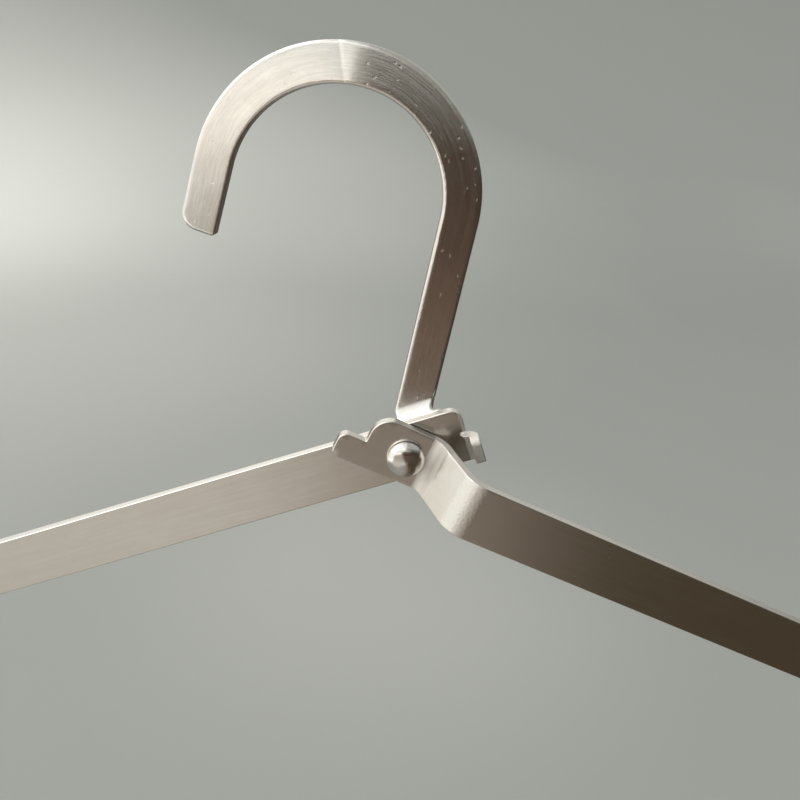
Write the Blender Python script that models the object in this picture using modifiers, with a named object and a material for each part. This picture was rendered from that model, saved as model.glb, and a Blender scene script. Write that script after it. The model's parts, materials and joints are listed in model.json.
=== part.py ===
# Folding travel hanger: two stamped arms and a flat stamped hook, held together by one rivet.
# Metres, +Z up. The viewer of the front stands on the -Y side, and +X is to that viewer's right.
# The origin is the point under the hook's crown that sits on a rail.

import bpy
import bmesh
from math import acos, atan2, ceil, cos, pi, radians, sin, tan
from mathutils import Matrix, Vector

COLLECTION_NAME = "folding_travel_hanger"
CUTTER_COLLECTION_NAME = "hanger_cutters"

# Sheet
plate_thickness = 0.0022
edge_rounding = 0.00024
edge_rounding_segments = 2
edge_rounding_angle = 40.0
edge_rounding_profile_share = 0.5
weld_distance = 0.00001
flat_angle = 0.2

# Clearances
arm_gap = 0.0004
hook_gap = 0.0003
rivet_gap = 0.0003
cut_overrun = 0.001

# Facet steps, in degrees
corner_step = 9.0
hook_arc_step = 3.0
bend_step = 8.0
crown_bend_step = 5.0
round_step = 7.5

# Both arms
arm_reach = 0.200
arm_width = 0.0126
arm_drop = 21.84

# Left arm: the plate runs on past the rivet and ends in an ear and a stop tab bent to the front
left_ear_reach = 0.01375
left_ear_corner = 0.0026
left_ear_lip = 0.0003
stop_tab_bend_start = 0.0129
stop_tab_inner_radius = 0.0010
stop_tab_rise = 0.0026
stop_tab_drop = 0.0002
stop_tab_top_corner = 0.0020
stop_tab_low_corner = 0.0005
relief_width = 0.0010
relief_depth = 0.0005

# Right arm: the plate runs on past the rivet as a tongue, and the arm steps to the front
right_arm_lift = 0.0003
tongue_reach = 0.01485
tongue_top_drop = 0.00015
tongue_top_corner = 0.0020
tongue_low_corner = 0.0016
notch_corner = 0.0004
shoulder_reach = 0.0092
shoulder_corner = 0.0044
step_start = 0.0037
step_height = 0.0123
step_angle = 62.0
step_skew = 2.5
step_hollow_radius = 0.0024
step_crown_radius = 0.0056

# Hook: the base plate lies behind the left arm, and its neck steps back before the shaft
hook_width = 0.0078
hook_base_left = 0.0060
hook_base_right = 0.0103
hook_base_low = 0.0060
hook_base_low_corner = 0.0055
hook_base_top_corner = 0.0014
hook_base_lip = 0.0003
hook_neck_fillet = 0.0007
neck_left_side = 0.0001
neck_right_side = 0.0081
neck_left_blend = 0.0040
neck_right_blend = 0.0012
neck_bend_start = 0.0037
neck_back_angle = 60.0
neck_up_angle = 56.0
neck_back_inner_radius = 0.0004
neck_up_front_radius = 0.0030
neck_set_back = 0.0031
shaft_root_side = 0.00495
shaft_root_height = 0.0079
shaft_lean = 29.76
shaft_length = 0.0392
right_arc_radius = 0.0245
right_arc_angle = 82.8
left_arc_radius = 0.02615
left_arc_end_angle = 174.4
tip_length = 0.0150
tip_outer_corner = 0.0036
tip_inner_corner = 0.0010
crown_angle = 97.4
crown_fold_angle = 8.3
crown_fold_skew = 12.4
crown_fold_inner_radius = 0.0060

# Rivet
rivet_shank_diameter = 0.0042
rivet_head_diameter = 0.0080
rivet_head_height = 0.0023
rivet_head_rim = 0.0006
rivet_head_rim_rounding = 0.0003
rivet_tail_diameter = 0.0064
rivet_tail_height = 0.0012
rivet_tail_rounding = 0.0004

half_thickness = plate_thickness / 2
half_arm_width = arm_width / 2
half_hook_width = hook_width / 2


def clear_scene():
    for item in list(bpy.data.objects):
        bpy.data.objects.remove(item)


def new_collection(name):
    collection = bpy.data.collections.new(name)
    bpy.context.scene.collection.children.link(collection)
    return collection


def metal(name, colour, roughness):
    material = bpy.data.materials.new(name)
    material.use_nodes = True
    shader = material.node_tree.nodes["Principled BSDF"]
    shader.inputs["Base Color"].default_value = colour
    shader.inputs["Metallic"].default_value = 1.0
    shader.inputs["Roughness"].default_value = roughness
    return material


def arc_points(centre, radius, start, sweep, step):
    count = max(1, ceil(abs(sweep) / radians(step)))
    angles = [start + sweep * index / count for index in range(count + 1)]
    return [centre + Vector((cos(angle), sin(angle))) * radius for angle in angles]


def rounded_outline(corners):
    """Turn corners, each a point and a radius, into a closed outline with round corners.

    Where two round corners want more than the side between them, both shrink to share it.
    """
    points = [corner for corner, radius in corners]
    sides = [points[(index + 1) % len(points)] - point for index, point in enumerate(points)]
    half_angles = []
    tangents = []
    for index, (corner, radius) in enumerate(corners):
        turn = sides[index].normalized().dot(-sides[index - 1].normalized())
        half_angle = acos(max(-1, min(1, turn))) / 2
        half_angles.append(half_angle)
        straight = radius == 0 or half_angle >= radians(90 - flat_angle)
        tangents.append(0 if straight else radius / tan(half_angle))
    fits = []
    for index, side in enumerate(sides):
        wanted = tangents[index] + tangents[(index + 1) % len(points)]
        fits.append(min(1, side.length / wanted) if wanted else 1)
    outline = []
    for index, corner in enumerate(points):
        if not tangents[index]:
            outline.append(corner)
            continue
        tangent = tangents[index] * min(fits[index - 1], fits[index])
        before = -sides[index - 1].normalized()
        after = sides[index].normalized()
        middle = corner + (before + after).normalized() * (tangent / cos(half_angles[index]))
        first = corner + before * tangent - middle
        last = corner + after * tangent - middle
        start = atan2(first.y, first.x)
        sweep = atan2(first.cross(last), first.dot(last))
        outline += arc_points(middle, first.length, start, sweep, corner_step)
    return [
        place for index, place in enumerate(outline)
        if (place - outline[index - 1]).length > weld_distance
    ]


def flat_plate(name, outline):
    """A flat plate with rounded edges, standing in the XZ plane with its middle on Y zero."""
    curve = bpy.data.curves.new(name, "CURVE")
    curve.dimensions = "2D"
    curve.fill_mode = "BOTH"
    curve.extrude = half_thickness
    spline = curve.splines.new("POLY")
    spline.points.add(len(outline) - 1)
    for point, place in zip(spline.points, outline):
        point.co = (place.x, place.y, 0, 1)
    spline.use_cyclic_u = True
    guide = bpy.data.objects.new(name, curve)
    bpy.context.scene.collection.objects.link(guide)
    guide.rotation_euler.x = radians(90)
    bpy.context.view_layer.update()
    evaluated = guide.evaluated_get(bpy.context.evaluated_depsgraph_get())
    mesh = bpy.data.meshes.new_from_object(evaluated)
    mesh.transform(guide.matrix_world)
    bpy.data.objects.remove(guide)
    bpy.data.curves.remove(curve)
    sheet = bmesh.new()
    sheet.from_mesh(mesh)
    bpy.data.meshes.remove(mesh)
    bmesh.ops.remove_doubles(sheet, verts=sheet.verts[:], dist=weld_distance)
    bmesh.ops.dissolve_limit(
        sheet,
        angle_limit=radians(flat_angle),
        verts=sheet.verts[:],
        edges=sheet.edges[:],
    )
    bmesh.ops.recalc_face_normals(sheet, faces=sheet.faces[:])
    rim = [edge for edge in sheet.edges if edge.calc_face_angle() > radians(edge_rounding_angle)]
    bmesh.ops.bevel(
        sheet,
        geom=rim,
        offset=edge_rounding,
        segments=edge_rounding_segments,
        profile=edge_rounding_profile_share,
        affect="EDGES",
        clamp_overlap=True,
    )
    return sheet


def cut_across(sheet, faces, place, direction):
    edges = {edge for face in faces for edge in face.edges}
    verts = {vert for face in faces for vert in face.verts}
    bmesh.ops.bisect_plane(
        sheet,
        geom=faces + list(edges) + list(verts),
        plane_co=place,
        plane_no=direction,
        dist=weld_distance,
    )


class Bend:
    """A round bend across a flat plate. side is -1 towards the front and +1 towards the back."""

    def __init__(self, start, direction, angle, radius, side, step, applies):
        self.start = start
        self.direction = direction.normalized()
        self.angle = radians(angle)
        self.radius = radius
        self.side = side
        self.facets = ceil(angle / step)
        self.applies = applies
        self.length = self.radius * self.angle

    def slice(self, sheet):
        for index in range(self.facets + 1):
            place = self.start + self.direction * (self.length * index / self.facets)
            faces = [face for face in sheet.faces if self.applies(face.calc_center_median())]
            cut_across(sheet, faces, place, self.direction)

    def on_arc(self, index, depth):
        """How far forward and how far up a facet's edge lies, at a depth towards the inside."""
        turn = self.angle * index / self.facets
        reach = self.radius - depth
        return Vector((reach * sin(turn), self.radius - reach * cos(turn)))

    def moved(self, point):
        """Points between two slices lie on the facet between them, so each facet stays flat."""
        along = (point - self.start).dot(self.direction)
        if along <= 0 or not self.applies(point):
            return point
        facet = min(along / self.length, 1) * self.facets
        index = min(int(facet), self.facets - 1)
        depth = point.y * self.side
        bent = self.on_arc(index, depth).lerp(self.on_arc(index + 1, depth), facet - index)
        bent += Vector((cos(self.angle), sin(self.angle))) * max(0, along - self.length)
        flat = point - self.direction * along
        return Vector((flat.x, bent.y * self.side, flat.z)) + self.direction * bent.x


def everywhere(point):
    return True


def bend_point(point, bends):
    """Carry a point of the flat plate through its bends, the outermost first."""
    for bend in bends:
        point = bend.moved(point)
    return point


def sheet_part(name, outline, first_cut, bends, material, parent, middle_depth, turn, collection):
    """One stamped and bent plate with its object origin on the pivot axis.

    first_cut is a line's place and direction across the plate, and divides what bends from what doesn't.
    """
    sheet = flat_plate(name, outline)
    cut_across(sheet, sheet.faces[:], *first_cut)
    for bend in bends:
        bend.slice(sheet)
    for vert in sheet.verts:
        vert.co = bend_point(vert.co, bends) + Vector((0, middle_depth, 0))
    mesh = bpy.data.meshes.new(name)
    sheet.to_mesh(mesh)
    sheet.free()
    mesh.materials.append(material)
    part = bpy.data.objects.new(name, mesh)
    collection.objects.link(part)
    part.parent = parent
    part.rotation_euler.y = radians(turn)
    return part


def turned_object(name, profile, parent, collection):
    """A body turned about the pivot axis. profile holds (radius, depth) from front to back."""
    mesh = bpy.data.meshes.new(name)
    places = [(radius, 0, -depth) for radius, depth in profile]
    edges = [(index, index + 1) for index in range(len(places) - 1)]
    mesh.from_pydata(places, edges, [])
    part = bpy.data.objects.new(name, mesh)
    collection.objects.link(part)
    part.parent = parent
    part.rotation_euler.x = radians(90)
    screw = part.modifiers.new("turning", "SCREW")
    screw.axis = "Z"
    screw.steps = round(360 / round_step)
    screw.render_steps = screw.steps
    screw.use_merge_vertices = True
    screw.merge_threshold = weld_distance
    return part


def cut_hole(part, cutter):
    hole = part.modifiers.new("pivot_hole", "BOOLEAN")
    hole.operation = "DIFFERENCE"
    hole.solver = "EXACT"
    hole.object = cutter


def smooth(part):
    part.data.shade_smooth()
    part.data.set_sharp_from_angle(angle=radians(edge_rounding_angle))


def left_arm_outline():
    tab_bend_length = (stop_tab_inner_radius + half_thickness) * pi / 2
    tab_flat = stop_tab_rise - stop_tab_inner_radius
    tab_end = stop_tab_bend_start + tab_bend_length + tab_flat
    relief_end = stop_tab_bend_start - relief_depth
    relief_top = relief_width - stop_tab_drop
    low = -half_arm_width
    return rounded_outline(
        [
            (Vector((-arm_reach, low)), half_arm_width),
            (Vector((tab_end, low)), stop_tab_low_corner),
            (Vector((tab_end, -stop_tab_drop)), stop_tab_top_corner),
            (Vector((relief_end, -stop_tab_drop)), relief_width / 2),
            (Vector((relief_end, relief_top)), relief_width / 2),
            (Vector((left_ear_reach, relief_top)), left_ear_lip),
            (Vector((left_ear_reach, half_arm_width)), left_ear_corner),
            (Vector((-arm_reach, half_arm_width)), half_arm_width),
        ]
    )


def left_arm_bends():
    def in_tab(point):
        return point.z < relief_width / 2 - stop_tab_drop

    return [
        Bend(
            start=Vector((stop_tab_bend_start, 0, 0)),
            direction=Vector((1, 0, 0)),
            angle=90,
            radius=stop_tab_inner_radius + half_thickness,
            side=-1,
            step=bend_step,
            applies=in_tab,
        )
    ]


def right_arm_bends():
    """Two opposite bends that carry the arm to the front, the farther one first."""
    skew = radians(step_skew)
    direction = Vector((cos(skew), 0, sin(skew)))
    hollow = step_hollow_radius + half_thickness
    crown = step_crown_radius - half_thickness
    angle = radians(step_angle)
    slope = (step_height - (hollow + crown) * (1 - cos(angle))) / sin(angle)
    second_start = step_start + hollow * angle + slope
    first = Bend(direction * step_start, direction, step_angle, hollow, -1, bend_step, everywhere)
    second = Bend(direction * second_start, direction, step_angle, crown, 1, bend_step, everywhere)
    return [second, first]


def right_arm_outline():
    """The far end lies at arm_reach once bent, so the flat plate is longer by what the step takes."""
    low = right_arm_lift - half_arm_width
    high = right_arm_lift + half_arm_width
    flat_reach = Vector((arm_reach, 0, 0))
    taken = arm_reach - bend_point(flat_reach, right_arm_bends()).x
    far_end = arm_reach + taken
    return rounded_outline(
        [
            (Vector((-tongue_reach, low)), tongue_low_corner),
            (Vector((far_end, low)), half_arm_width),
            (Vector((far_end, high)), half_arm_width),
            (Vector((-shoulder_reach, high)), shoulder_corner),
            (Vector((-shoulder_reach, -tongue_top_drop)), notch_corner),
            (Vector((-tongue_reach, -tongue_top_drop)), tongue_top_corner),
        ]
    )


def neck_bends():
    """The neck's step to the back: a bend up, and before it a bend back above the base plate."""
    back = neck_back_inner_radius + half_thickness
    up = neck_up_front_radius + half_thickness
    back_angle = radians(neck_back_angle)
    lean_angle = radians(neck_back_angle - neck_up_angle)
    taken = back * (1 - cos(back_angle)) + up * (cos(lean_angle) - cos(back_angle))
    shelf = (neck_set_back - taken) / sin(back_angle)
    up_start = neck_bend_start + back * back_angle + shelf
    direction = Vector((0, 0, 1))
    first_place = direction * neck_bend_start
    first = Bend(first_place, direction, neck_back_angle, back, 1, bend_step, everywhere)
    second = Bend(direction * up_start, direction, neck_up_angle, up, -1, bend_step, everywhere)
    return [second, first]


def neck_take_up():
    """How much height the neck's bends take from the flat plate."""
    bends = neck_bends()
    neck_end = bends[0].start + bends[0].direction * bends[0].length
    return neck_end.z - bend_point(neck_end, bends).z


def base_top():
    """The base plate's upper edge in the flat plate, just past the bend back."""
    return neck_bend_start + neck_bends()[1].length + hook_base_lip


class HookPath:
    """The hook's middle line in its flat plate: a straight shaft, two arcs and a straight tip."""

    def __init__(self):
        lean = radians(shaft_lean)
        self.up = Vector((sin(lean), cos(lean)))
        self.side = Vector((cos(lean), -sin(lean)))
        self.root = Vector((shaft_root_side, shaft_root_height + neck_take_up()))
        top = self.root + self.up * shaft_length
        self.right_centre = top - self.side * right_arc_radius
        join = self.radial(right_arc_angle)
        self.left_centre = self.right_centre + join * (right_arc_radius - left_arc_radius)

    def radial(self, angle):
        return self.side * cos(radians(angle)) + self.up * sin(radians(angle))

    def edge(self, offset):
        """Points along both arcs, from the shaft to the tip. offset is the distance outwards."""
        start = -radians(shaft_lean)
        join = radians(right_arc_angle)
        sweep = radians(left_arc_end_angle) - join
        right_radius = right_arc_radius + offset
        left_radius = left_arc_radius + offset
        right = arc_points(self.right_centre, right_radius, start, join, hook_arc_step)
        left = arc_points(self.left_centre, left_radius, start + join, sweep, hook_arc_step)
        return right + left[1:]

    def shaft_edge(self, offset, side):
        """The place on one edge of the shaft at a distance to the right of the pivot."""
        place = self.root + self.side * offset
        return place + self.up * ((side - place.x) / self.up.x)

    def tip(self, offset):
        outward = self.radial(left_arc_end_angle)
        along = Vector((-outward.y, outward.x))
        return self.left_centre + outward * (left_arc_radius + offset) + along * tip_length


def above_neck(path):
    """A height in the flat plate between the neck's bends and the crown."""
    return path.root.y + hook_width


def crown_fold(path):
    """A shallow fold across the crown. Both halves of the hook lie back from it."""
    middle = path.left_centre + path.radial(crown_angle) * left_arc_radius
    across = path.radial(crown_angle + crown_fold_skew)
    direction = Vector((-across.y, 0, across.x))
    radius = crown_fold_inner_radius + half_thickness
    half_length = radius * radians(crown_fold_angle) / 2
    start = Vector((middle.x, 0, middle.y)) - direction * half_length

    def on_crown(point):
        return point.z > above_neck(path)

    return Bend(start, direction, crown_fold_angle, radius, 1, crown_bend_step, on_crown)


def hook_bends(path):
    return [crown_fold(path)] + neck_bends()


def hook_outline(path):
    top = base_top()
    left = -hook_base_left
    right = hook_base_right
    low = -hook_base_low
    outer = [(place, 0) for place in path.edge(half_hook_width)]
    inner = [(place, 0) for place in reversed(path.edge(-half_hook_width))]
    corners = [(path.shaft_edge(half_hook_width, neck_right_side), neck_right_blend)]
    corners += outer
    corners += [(path.tip(half_hook_width), tip_outer_corner)]
    corners += [(path.tip(-half_hook_width), tip_inner_corner)]
    corners += inner
    corners += [
        (path.shaft_edge(-half_hook_width, neck_left_side), neck_left_blend),
        (Vector((neck_left_side, top)), hook_neck_fillet),
        (Vector((left, top)), hook_base_top_corner),
        (Vector((left, low)), hook_base_low_corner),
        (Vector((right, low)), hook_base_low_corner),
        (Vector((right, top)), hook_base_top_corner),
        (Vector((neck_right_side, top)), hook_neck_fillet),
    ]
    return rounded_outline(corners)


def rail_seat(path, middle_depth):
    """The point under the crown, at the end of the fold line and halfway through the plate."""
    inner = path.left_centre + path.radial(crown_angle) * (left_arc_radius - half_hook_width)
    place = bend_point(Vector((inner.x, 0, inner.y)), hook_bends(path))
    place.y += middle_depth
    return Matrix.Rotation(radians(-arm_drop), 3, "Y") @ place


def rivet_profile(front, back):
    """From the head's crown to the tail's middle, round the outside."""
    head_radius = rivet_head_diameter / 2
    shank_radius = rivet_shank_diameter / 2
    tail_radius = rivet_tail_diameter / 2
    dome_height = rivet_head_height - rivet_head_rim
    dome_radius = (head_radius**2 + dome_height**2) / (2 * dome_height)
    crown = front - rivet_head_height
    steps = round(90 / corner_step)
    dome_sweep = atan2(head_radius, dome_radius - dome_height)
    profile = []
    for index in range(steps + 1):
        angle = dome_sweep * index / steps
        depth = crown + dome_radius * (1 - cos(angle))
        profile.append((dome_radius * sin(angle), depth))
    profile += [
        (head_radius, front - rivet_head_rim_rounding),
        (head_radius - rivet_head_rim_rounding, front),
        (shank_radius, front),
        (shank_radius, back),
        (tail_radius, back),
        (tail_radius, back + rivet_tail_height - rivet_tail_rounding),
        (tail_radius - rivet_tail_rounding, back + rivet_tail_height),
        (0, back + rivet_tail_height),
    ]
    return profile


def pivot_cutter(parent, front, back, collection):
    radius = rivet_shank_diameter / 2 + rivet_gap
    bpy.ops.mesh.primitive_cylinder_add(
        vertices=round(360 / round_step),
        radius=radius,
        depth=back - front,
    )
    cutter = bpy.context.object
    cutter.name = "pivot_hole_cutter"
    for owner in list(cutter.users_collection):
        owner.objects.unlink(cutter)
    collection.objects.link(cutter)
    cutter.parent = parent
    cutter.location.y = (front + back) / 2
    cutter.rotation_euler.x = radians(90)
    cutter.hide_render = True
    cutter.display_type = "WIRE"
    return cutter


def build():
    clear_scene()
    parts = new_collection(COLLECTION_NAME)
    cutters = new_collection(CUTTER_COLLECTION_NAME)
    left_middle = half_thickness
    right_middle = -arm_gap - half_thickness
    hook_middle = plate_thickness + hook_gap + half_thickness
    head_seat = right_middle - half_thickness - rivet_gap
    tail_seat = hook_middle + half_thickness + rivet_gap
    path = HookPath()

    pivot = bpy.data.objects.new("pivot_axis", None)
    parts.objects.link(pivot)
    pivot.location = -rail_seat(path, hook_middle)

    satin = metal("left_arm_satin", (0.80, 0.78, 0.75, 1.0), 0.30)
    darker = metal("right_arm_satin", (0.78, 0.76, 0.73, 1.0), 0.32)
    brushed = metal("hook_brushed", (0.82, 0.80, 0.77, 1.0), 0.26)
    polished = metal("rivet_polished", (0.86, 0.85, 0.83, 1.0), 0.14)

    left_arm = sheet_part(
        "left_arm",
        left_arm_outline(),
        (Vector((stop_tab_bend_start, 0, 0)), Vector((1, 0, 0))),
        left_arm_bends(),
        satin,
        pivot,
        left_middle,
        -arm_drop,
        parts,
    )
    right_arm = sheet_part(
        "right_arm",
        right_arm_outline(),
        (Vector((step_start, 0, 0)), Vector((1, 0, 0))),
        right_arm_bends(),
        darker,
        pivot,
        right_middle,
        arm_drop,
        parts,
    )
    hook = sheet_part(
        "hook",
        hook_outline(path),
        (Vector((0, 0, above_neck(path))), Vector((0, 0, 1))),
        hook_bends(path),
        brushed,
        pivot,
        hook_middle,
        -arm_drop,
        parts,
    )
    rivet = turned_object("pivot_rivet", rivet_profile(head_seat, tail_seat), pivot, parts)
    rivet.data.materials.append(polished)

    front = head_seat - cut_overrun
    back = tail_seat + cut_overrun
    cutter = pivot_cutter(pivot, front, back, cutters)
    for plate in (left_arm, right_arm, hook):
        cut_hole(plate, cutter)
        smooth(plate)
    rivet.modifiers["turning"].use_smooth_shade = True


build()
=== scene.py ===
# Folding travel hanger: the sheet metal's finish, its rolled edges and bends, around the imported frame.
import json
from collections import namedtuple
from math import acos, atan2, ceil, cos, degrees, exp, log, pi, radians, sin, tan

import bmesh
import bpy
from mathutils import Matrix, Vector, noise
from mathutils.geometry import delaunay_2d_cdt


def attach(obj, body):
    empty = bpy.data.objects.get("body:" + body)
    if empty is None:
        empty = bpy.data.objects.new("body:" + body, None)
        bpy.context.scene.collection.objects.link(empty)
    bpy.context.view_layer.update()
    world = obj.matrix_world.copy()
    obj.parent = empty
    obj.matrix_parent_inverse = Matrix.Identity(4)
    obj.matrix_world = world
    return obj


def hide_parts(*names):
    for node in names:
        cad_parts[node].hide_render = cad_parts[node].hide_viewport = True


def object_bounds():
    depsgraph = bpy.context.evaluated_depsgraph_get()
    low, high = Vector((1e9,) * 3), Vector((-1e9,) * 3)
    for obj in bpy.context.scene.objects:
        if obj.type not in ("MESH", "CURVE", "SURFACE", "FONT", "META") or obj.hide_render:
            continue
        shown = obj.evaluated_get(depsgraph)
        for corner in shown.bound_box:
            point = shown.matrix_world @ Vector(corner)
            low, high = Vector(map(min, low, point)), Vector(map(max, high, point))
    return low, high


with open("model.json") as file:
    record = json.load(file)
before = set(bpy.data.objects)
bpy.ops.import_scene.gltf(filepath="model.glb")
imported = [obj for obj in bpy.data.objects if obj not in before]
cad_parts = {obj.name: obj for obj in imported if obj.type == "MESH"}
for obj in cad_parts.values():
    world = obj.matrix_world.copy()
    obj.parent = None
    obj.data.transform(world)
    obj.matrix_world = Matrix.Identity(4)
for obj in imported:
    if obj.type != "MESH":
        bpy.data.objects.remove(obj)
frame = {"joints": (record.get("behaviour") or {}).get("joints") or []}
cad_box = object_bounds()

PIVOT = Vector(frame["joints"][0]["pos_m"])
MM = 0.001

# Sheet
plate_thickness = 0.0022
half_thickness = plate_thickness / 2
weld_distance = 0.000004
flat_angle = 0.2

# Clearances
arm_gap = 0.0004
hook_gap = 0.0003
rivet_gap = 0.0003

# How far the finished faces lie inside the plate's nominal size
finish_allowance = 0.00002

# Fineness of the surfaces
corner_step = 4.0
hook_arc_step = 0.7
fine_spacing = 0.00022
hook_spacing = 0.00045
arm_spacing = 0.0016
arm_spacing_growth = 0.15
edge_clearance_share = 0.6
least_stretch = 0.5
triangulation_tolerance = 1e-6
normal_weight = 50
wall_rows = 6
hole_sides = 72
rivet_turn_steps = 120

# How far the fine spacing runs before and past the bends
tab_fine_before = 0.0008
tab_fine_past = 0.0045
tab_points_past = 0.008
step_fine_margin = 0.0004
neck_fine_before = 0.0005
neck_fine_past = 0.0004

# Both arms
arm_reach = 0.200
arm_width = 0.0126
arm_drop = 21.84
half_arm_width = arm_width / 2

# Left arm
left_ear_reach = 0.01375
left_ear_corner = 0.0026
left_ear_lip = 0.0003
stop_tab_bend_start = 0.0129
stop_tab_inner_radius = 0.0010
stop_tab_rise = 0.0026
stop_tab_drop = 0.0002
stop_tab_top_corner = 0.0020
stop_tab_low_corner = 0.0005
relief_width = 0.0010
relief_depth = 0.0005

# Right arm
right_arm_lift = 0.0003
tongue_reach = 0.01485
tongue_top_drop = 0.00015
tongue_top_corner = 0.0020
tongue_low_corner = 0.0016
notch_corner = 0.0004
shoulder_reach = 0.0092
shoulder_corner = 0.0044
step_start = 0.0037
step_height = 0.0123
step_angle = 62.0
step_skew = 2.5
step_hollow_radius = 0.0024
step_crown_radius = 0.0056

# Hook
hook_width = 0.0078
half_hook_width = hook_width / 2
hook_base_left = 0.0060
hook_base_right = 0.0103
hook_base_low = 0.0060
hook_base_low_corner = 0.0055
hook_base_top_corner = 0.0014
hook_base_lip = 0.0003
hook_neck_fillet = 0.0007
neck_left_side = 0.0001
neck_right_side = 0.0081
neck_left_blend = 0.0040
neck_right_blend = 0.0012
neck_bend_start = 0.0037
neck_back_angle = 60.0
neck_up_angle = 56.0
neck_back_inner_radius = 0.0004
neck_up_front_radius = 0.0030
neck_set_back = 0.0031
shaft_root_side = 0.00495
shaft_root_height = 0.0079
shaft_lean = 29.76
shaft_length = 0.0392
right_arc_radius = 0.0245
right_arc_angle = 82.8
left_arc_radius = 0.02615
left_arc_end_angle = 174.4
tip_length = 0.0150
tip_outer_corner = 0.0036
tip_inner_corner = 0.0010
crown_angle = 97.4
crown_fold_angle = 8.3
crown_fold_skew = 12.4
crown_fold_inner_radius = 0.0060

# Rivet
rivet_shank_diameter = 0.0042
rivet_head_diameter = 0.0080
rivet_head_height = 0.0023
rivet_head_rim = 0.0006
rivet_head_rim_rounding = 0.0003
rivet_tail_diameter = 0.0064
rivet_tail_height = 0.0012
rivet_tail_rounding = 0.0004

# Marks of the rivet's forming tool
rivet_cone_angle = 13.0
rivet_edge_angle = 78.0
rivet_edge_power = 4.5
rivet_ring_depth = 0.000005
rivet_ring_turns = 14
rivet_peak_radius = 0.00035

# How far each plate's edges are rolled over, and how deep
arm_edge_width = 0.00024
arm_edge_drop = 0.00024
hook_front_edge_width = 0.00074
hook_front_edge_drop = 0.00042
hook_back_edge_width = 0.00024
hook_back_edge_drop = 0.00020
edge_steps = 7

# Marks of the press tools
step_ridge_height = 0.000014
step_ridge_width = 0.00022
crown_wedge_slope = 0.20
crown_wedge_inner = 0.0002
crown_wedge_outer = 0.0021
crown_sweep_slope = 0.055
crown_sweep_length = 0.0065
crown_crease_left_fade = 0.0036
crown_crease_reach = 0.0260
crown_sunk_share = 0.45
crown_fine_reach = 0.0042
tongue_tilt = 0.012
tongue_twist = 2.0
tongue_tilt_blend = 0.0010
left_arm_sag_depth = 0.00022
left_arm_sag_start = -0.095
left_arm_sag_middle = -0.030
left_arm_sag_end = 0.012
sheet_wave_height = 0.000012
sheet_wave_length = 0.014
roll_wander = 0.12
roll_wander_length = 0.0009


def arc_points(centre, radius, start, sweep, step):
    count = max(1, ceil(abs(sweep) / radians(step)))
    angles = [start + sweep * index / count for index in range(count + 1)]
    return [centre + Vector((cos(angle), sin(angle))) * radius for angle in angles]


def rounded_outline(corners):
    """Turn corners, each a point and a radius, into a closed outline with round corners."""
    points = [corner for corner, radius in corners]
    sides = [points[(index + 1) % len(points)] - point for index, point in enumerate(points)]
    half_angles = []
    tangents = []
    for index, (corner, radius) in enumerate(corners):
        turn = sides[index].normalized().dot(-sides[index - 1].normalized())
        half_angle = acos(max(-1, min(1, turn))) / 2
        half_angles.append(half_angle)
        straight = radius == 0 or half_angle >= radians(90 - flat_angle)
        tangents.append(0 if straight else radius / tan(half_angle))
    outline = []
    for index, corner in enumerate(points):
        if not tangents[index]:
            outline.append(corner)
            continue
        before = -sides[index - 1].normalized()
        after = sides[index].normalized()
        tangent = tangents[index]
        middle = corner + (before + after).normalized() * (tangent / cos(half_angles[index]))
        first = corner + before * tangent - middle
        last = corner + after * tangent - middle
        start = atan2(first.y, first.x)
        sweep = atan2(first.cross(last), first.dot(last))
        outline += arc_points(middle, first.length, start, sweep, corner_step)
    return without_repeats(outline)


def without_repeats(outline):
    return [
        place for index, place in enumerate(outline)
        if (place - outline[index - 1]).length > weld_distance
    ]


def divided(outline, spacing_at):
    """The same outline with its long sides cut into steps of the spacing wanted there."""
    points = []
    for index, place in enumerate(outline):
        following = outline[(index + 1) % len(outline)]
        side = following - place
        reach = 0
        points.append(place)
        while True:
            reach += spacing_at(place + side.normalized() * reach)
            if reach > side.length - weld_distance:
                break
            points.append(place + side.normalized() * reach)
    return without_repeats(points)


def inset(outline, distance):
    """The outline moved towards the material, which lies on its left."""
    moved = []
    for index, place in enumerate(outline):
        before = (place - outline[index - 1]).normalized()
        after = (outline[(index + 1) % len(outline)] - place).normalized()
        normal = Vector((-before.y - after.y, before.x + after.x)).normalized()
        stretch = max(least_stretch, normal.dot(Vector((-after.y, after.x))))
        moved.append(place + normal * (distance / stretch))
    return moved


def linked(name, data):
    """A new object in the scene."""
    piece = bpy.data.objects.new(name, data)
    bpy.context.scene.collection.objects.link(piece)
    return piece


def area(outline):
    return sum(outline[index - 1].cross(place) for index, place in enumerate(outline)) / 2


class Bend:
    """A round bend across a flat plate. side is -1 towards the front and +1 towards the back."""

    def __init__(self, start, direction, angle, radius, side, applies=lambda point: True):
        self.start = start
        self.direction = direction.normalized()
        self.angle = radians(angle)
        self.radius = radius
        self.side = side
        self.applies = applies
        self.length = self.radius * self.angle

    def moved(self, point):
        along = (point - self.start).dot(self.direction)
        if along <= 0 or not self.applies(point):
            return point
        turn = min(along / self.radius, self.angle)
        extra = max(0, along - self.length)
        reach = self.radius - point.y * self.side
        forward = reach * sin(turn) + extra * cos(turn)
        rise = self.radius - reach * cos(turn) + extra * sin(turn)
        flat = point - self.direction * along
        return Vector((flat.x, rise * self.side, flat.z)) + self.direction * forward


def bend_point(point, bends):
    """Carry a point of the flat plate through its bends, the outermost first."""
    for bend in bends:
        point = bend.moved(point)
    return point


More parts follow.
